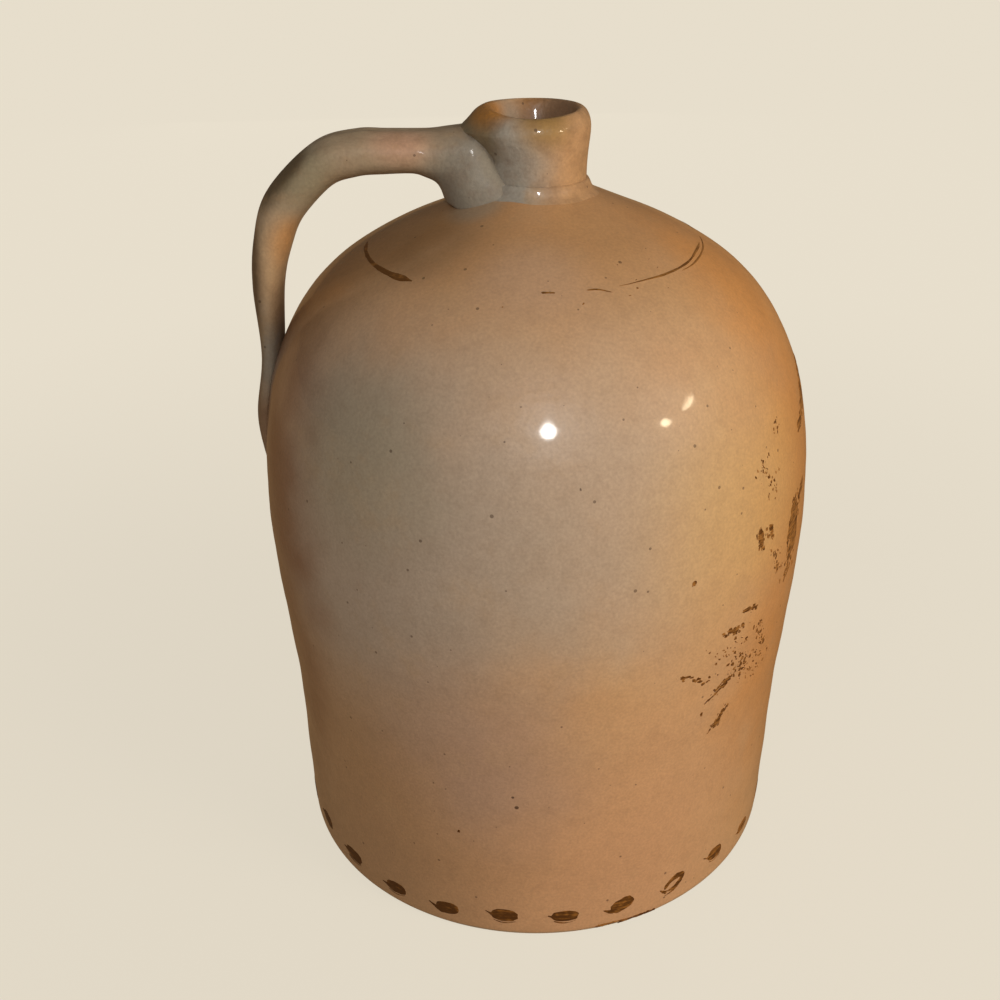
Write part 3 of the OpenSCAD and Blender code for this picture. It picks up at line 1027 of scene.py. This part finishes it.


# %% The kiln's flashes on each piece, with some painted shade and painted light among them
body_glaze = stoneware("body glaze", paint_tone(205, 158, 110), [
    ((30, -120, 50), 20, 150, (198, 145, 104), 0.7, 1),
    ((10, -140, 270), 30, 125, (184, 158, 133), 0.85, 1),
    ((190, -20, 180), 50, 155, (202, 128, 54), 0.9, 0.5),
    ((100, -110, 250), 10, 80, (208, 164, 104), 0.6, 1),
    ((-90, -110, 235), 40, 155, (172, 152, 132), 0.9, 1),
    ((-90, -120, 280), 10, 70, (152, 140, 112), 0.5, 1),
    ((-100, -100, 60), 30, 140, (172, 130, 92), 0.75, 1),
    # Down the left edge: partly a brown flash, partly painted shade on the side away from the lamps
    ((-185, -35, 230), 60, 116, (118, 63, 26), 0.92, 0.45),
    ((-110, -10, 350), 30, 85, (150, 105, 60), 0.85, 1),
    ((0, -20, 375), 30, 120, (181, 132, 84), 0.7, 1),
    ((120, -10, 360), 20, 90, (216, 144, 72), 0.8, 1),
    ((-50, -45, 358), 10, 42, (132, 98, 62), 0.6, 1),
    ((-2, -82, 352), 6, 40, (194, 156, 124), 0.55, 1),
    ((-30, -22, 372), 8, 20, (150, 134, 112), 0.6, 1),
    ((-25, -145, 128), 12, 85, (174, 140, 118), 0.65, 1),
])
neck_glaze = stoneware("neck glaze", paint_tone(196, 150, 104), [
    # Grey flash by the handle, made paler against the shade of the handle's root: partly painted light
    ((-45, -20, 385), 36, 62, (164, 156, 142), 0.95, 1),
    ((-36, -14, 404), 12, 26, (116, 100, 68), 0.85, 1),
    # Painted light: a warm orange glow on the left of the lip, where the right-hand lamp lights it
    ((-20, -6, 417), 9, 22, (186, 122, 46), 0.9, 1),
    ((4, -24, 413), 5, 20, (158, 122, 66), 0.85, 1),
    # Painted shade on the back of the mouth's inner wall
    ((12, 14, 404), 10, 20, (140, 108, 80), 0.9, 1),
], 0.96, 0.9, 3.0, (150, 106, 62))
handle_glaze = stoneware("handle glaze", paint_tone(178, 154, 122), [
    ((-66, -20, 406), 7, 25, (206, 158, 126), 0.85, 1),
    ((-118, -20, 385), 10, 30, (152, 138, 108), 0.8, 1),
    ((-20, -20, 380), 22, 44, (142, 132, 116), 0.95, 1),
    ((-130, -10, 335), 8, 28, (196, 158, 116), 0.9, 0.6),
    ((-138, -10, 285), 12, 32, (148, 136, 118), 0.9, 1),
    # The next two are painted shade on the strap's outer face, at the bend and down its back
    ((-150, -10, 396), 34, 43, (104, 84, 56), 0.9, 1),
    ((-172, -5, 340), 33, 41, (104, 80, 54), 0.95, 0.4),
    ((-155, 0, 235), 28, 55, (134, 102, 74), 0.9, 1),
    ((-125, -12, 350), 4, 17, (208, 146, 84), 0.7, 0.7),
], 0.9, 0.25, 2.2)

# %% [markdown]
# ## The slip
#
# Iron slip fires to a dark brown with a dull shine. Where the brush was nearly dry it is thin and
# ochre, with streaks that run along the stroke. The streaks here follow the height on the pot,
# because every stroke goes round it.

# %% A recipe for iron slip
def iron_slip(name, thick, thin, worn):
    """Brown slip, dark where it lies thick and ochre where it lies thin. worn says how much of it has
    gone pale. It lies thinner on the side away from the handle."""
    material, shader, place = finish(name, {"IOR": 1.4, "Coat Weight": 0.1, "Coat Roughness": 0.15})
    streaks, body = clouds(place * (0.25, 0.25, 2.2), 2.2 * MM, 3, 0.6), clouds(place, 4 * MM, 3)
    pale = fade(streaks * 0.6 + body * 0.4 + axis(place, 0) * 0.6, 0.62 - worn, 0.72 - worn * 0.5)
    colour = blend(pale, thick, thin) * (0.8 + clouds(place, 0.9 * MM, 2) * 0.4)
    bump = bumped(streaks * (0.12 * MM))
    feed(material, shader, {"Base Color": colour, "Roughness": 0.45 + streaks * 0.25, "Normal": bump})
    return material


dab_slip = iron_slip("dab slip", paint_tone(86, 48, 9), paint_tone(152, 96, 36), 0.15)
line_slip = iron_slip("line slip", paint_tone(104, 64, 22), paint_tone(150, 100, 46), 0.18)
fleck_slip = iron_slip("fleck slip", paint_tone(88, 48, 8), paint_tone(158, 104, 46), 0.13)

# %% Dress the pieces and tie them to the frame
pieces = [
    (thrown_body, body_glaze, "body_glaze", ["lower_body"]),
    (thrown_shoulder, body_glaze, "body_glaze", ["shoulder_dome"]),
    (rolled_neck, neck_glaze, "neck_glaze", ["neck"]),
    (neck_bead, neck_glaze, "neck_glaze", ["neck_coil"]),
    (strap, handle_glaze, "handle_glaze", ["handle"]),
    (brushed_dabs, dab_slip, "iron_slip", ["foot_dabs"]),
    (line_paint, line_slip, "iron_slip", ["shoulder_line"]),
    (worn_flecks, fleck_slip, "iron_slip", []),
]
for piece, material, slot, nodes in pieces:
    piece.data.materials.clear()
    piece.data.materials.append(material)
    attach(piece, "root")
    if nodes:
        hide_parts(*nodes)

# %% [markdown]
# ## Floor, light and camera
#
# The jug stands on a plain pale floor that fills the view. For the camera the floor gives out most of
# its own colour, so it stays even, and the rest of it keeps the soft shadow. Rays mirrored in the
# glaze see it darker and warmer, because the jug has dark edges where a pale room would make them
# grey. A wide warm lamp stands on the right and a dimmer cool one in front at the left, and two more
# light the back. Three small lamps give the glaze its bright points.

# %% The floor
backdrop = paint_tone(232, 223, 205)
dim_tone = tinted(backdrop, (0.31, 0.2, 0.11))
floor_half = 30
floor_mesh = bpy.data.meshes.new("floor")
corners = [(x * floor_half, y * floor_half, 0) for x, y in ((-1, -1), (1, -1), (1, 1), (-1, 1))]
floor_mesh.from_pydata(corners, [], [(0, 1, 2, 3)])
floor = placed("floor", floor_mesh)


def rays(tree, kind):
    """1 for one kind of ray, such as those that leave the camera, and 0 for the others."""
    return Wire(tree).node("LightPath", {}, {}, f"Is {kind} Ray")


def shown(tree, output, wire):
    """Links a finished shader to the output of its tree."""
    tree.links.new(wire.socket, tree.nodes[output].inputs["Surface"])


floor_look = bpy.data.materials.new("floor")
floor_look.use_nodes = True
tree = floor_look.node_tree
mirrored, bounced = rays(tree, "Glossy"), rays(tree, "Diffuse")
seen = rays(tree, "Camera") + mirrored + rays(tree, "Transmission")
far = length(Wire(tree).node("NewGeometry", {}, {}, "Position"))
matt_tone = blend(mirrored, blend(bounced, backdrop, tinted(backdrop, (0.5, 0.5, 0.5))), dim_tone)
matt = seen.node("BsdfDiffuse", {}, {"Color": matt_tone})
glow_tone = blend(mirrored, backdrop, dim_tone)
glow = seen.node("Emission", {}, {"Color": glow_tone, "Strength": 1.0})
even = 0.985 - (1 - fade(far, 0.2, 1.1)) * 0.13
shown(tree, "Material Output", seen.node("MixShader", {}, {0: seen * even, 1: matt, 2: glow}))
floor_mesh.materials.append(floor_look)
print(f"floor: {2 * floor_half} m wide, {len(tree.nodes)} nodes")

# %% The air
cool_air, dim_air, air_strength = (0.96, 0.97, 1.0), (0.46, 0.35, 0.22), 0.17
world = bpy.data.worlds.new("air")
world.use_nodes = True
bpy.context.scene.world = world
air = world.node_tree
watched = rays(air, "Camera")
air_tone = blend(rays(air, "Glossy"), cool_air, dim_air)
soft = watched.node("Background", {}, {"Color": air_tone, "Strength": air_strength})
plain = watched.node("Background", {}, {"Color": backdrop, "Strength": 1.0})
shown(air, "World Output", watched.node("MixShader", {}, {0: watched, 1: soft, 2: plain}))
print(f"air: {len(air.nodes)} nodes")


# %% The lamps
def lamp(name, place, aim, width, height, watts, tint, in_glaze):
    """An oval area lamp that points at a place on the jug. in_glaze says if it shows in the glaze."""
    light = bpy.data.lights.new(name, "AREA")
    light.shape, light.size, light.size_y, light.energy, light.color = "ELLIPSE", width, height, watts, tint
    made = placed(name, light)
    made.location = place
    made.visible_glossy = in_glaze
    toward = np.array(aim) - np.array(place)
    flat = math.hypot(toward[0], toward[1])
    turn = math.atan2(-toward[0], toward[1])
    made.rotation_euler = (math.pi / 2 + math.atan2(toward[2], flat), 0, turn)
    print(f"{name}: {watts} W, {np.linalg.norm(toward):.1f} m from the jug")


middle = (0, 0, 0.2)
sun_warm, sky_cool, pale_warm = (1.0, 0.96, 0.88), (0.98, 0.99, 1.0), (1.0, 0.96, 0.9)
spark_white, spark_warm = (1.0, 0.99, 0.98), (1.0, 0.82, 0.55)
lamp("key", (1.9, -1.2, 1.1), middle, 1.2, 1.2, 30, sun_warm, False)
lamp("fill", (-0.7, -2.3, 1.0), middle, 1.4, 1.4, 5.5, sky_cool, False)
lamp("back", (1.0, 2.1, 1.3), middle, 1.4, 1.4, 6, pale_warm, False)
lamp("rear", (-0.3, 2.4, 0.35), middle, 1.4, 1.4, 11, pale_warm, False)
lamp("spark", (0.11, -1.546, 1.08), (0.004, -0.133, 0.301), 0.18, 0.28, 7, spark_white, True)
lamp("warm spark", (1.315, -0.947, 0.87), (0.057, -0.12, 0.3), 0.13, 0.13, 1.6, spark_warm, True)
lamp("second warm spark", (1.47, -0.6, 0.94), (0.068, -0.112, 0.305), 0.2, 0.035, 0.6, spark_warm, True)

# %% The camera
# It looks down at the jug. The lens and the shift are shares of the sensor's width
camera_place, camera_down = (0, -0.586, 0.508), 28.03
sensor_w, lens_share, shift_share = 36, 1.147, -0.0362
camera = placed("camera", bpy.data.cameras.new("camera"))
camera.location = camera_place
camera.rotation_euler = (math.radians(90 - camera_down), 0, 0)
camera.data.sensor_width = sensor_w
camera.data.lens = lens_share * sensor_w
camera.data.shift_x = shift_share
camera.data.clip_start = 0.01
bpy.context.scene.camera = camera
bpy.context.scene.view_settings.view_transform = "Standard"
print(f"camera: {camera_down} degrees down, lens {camera.data.lens:.1f} mm")
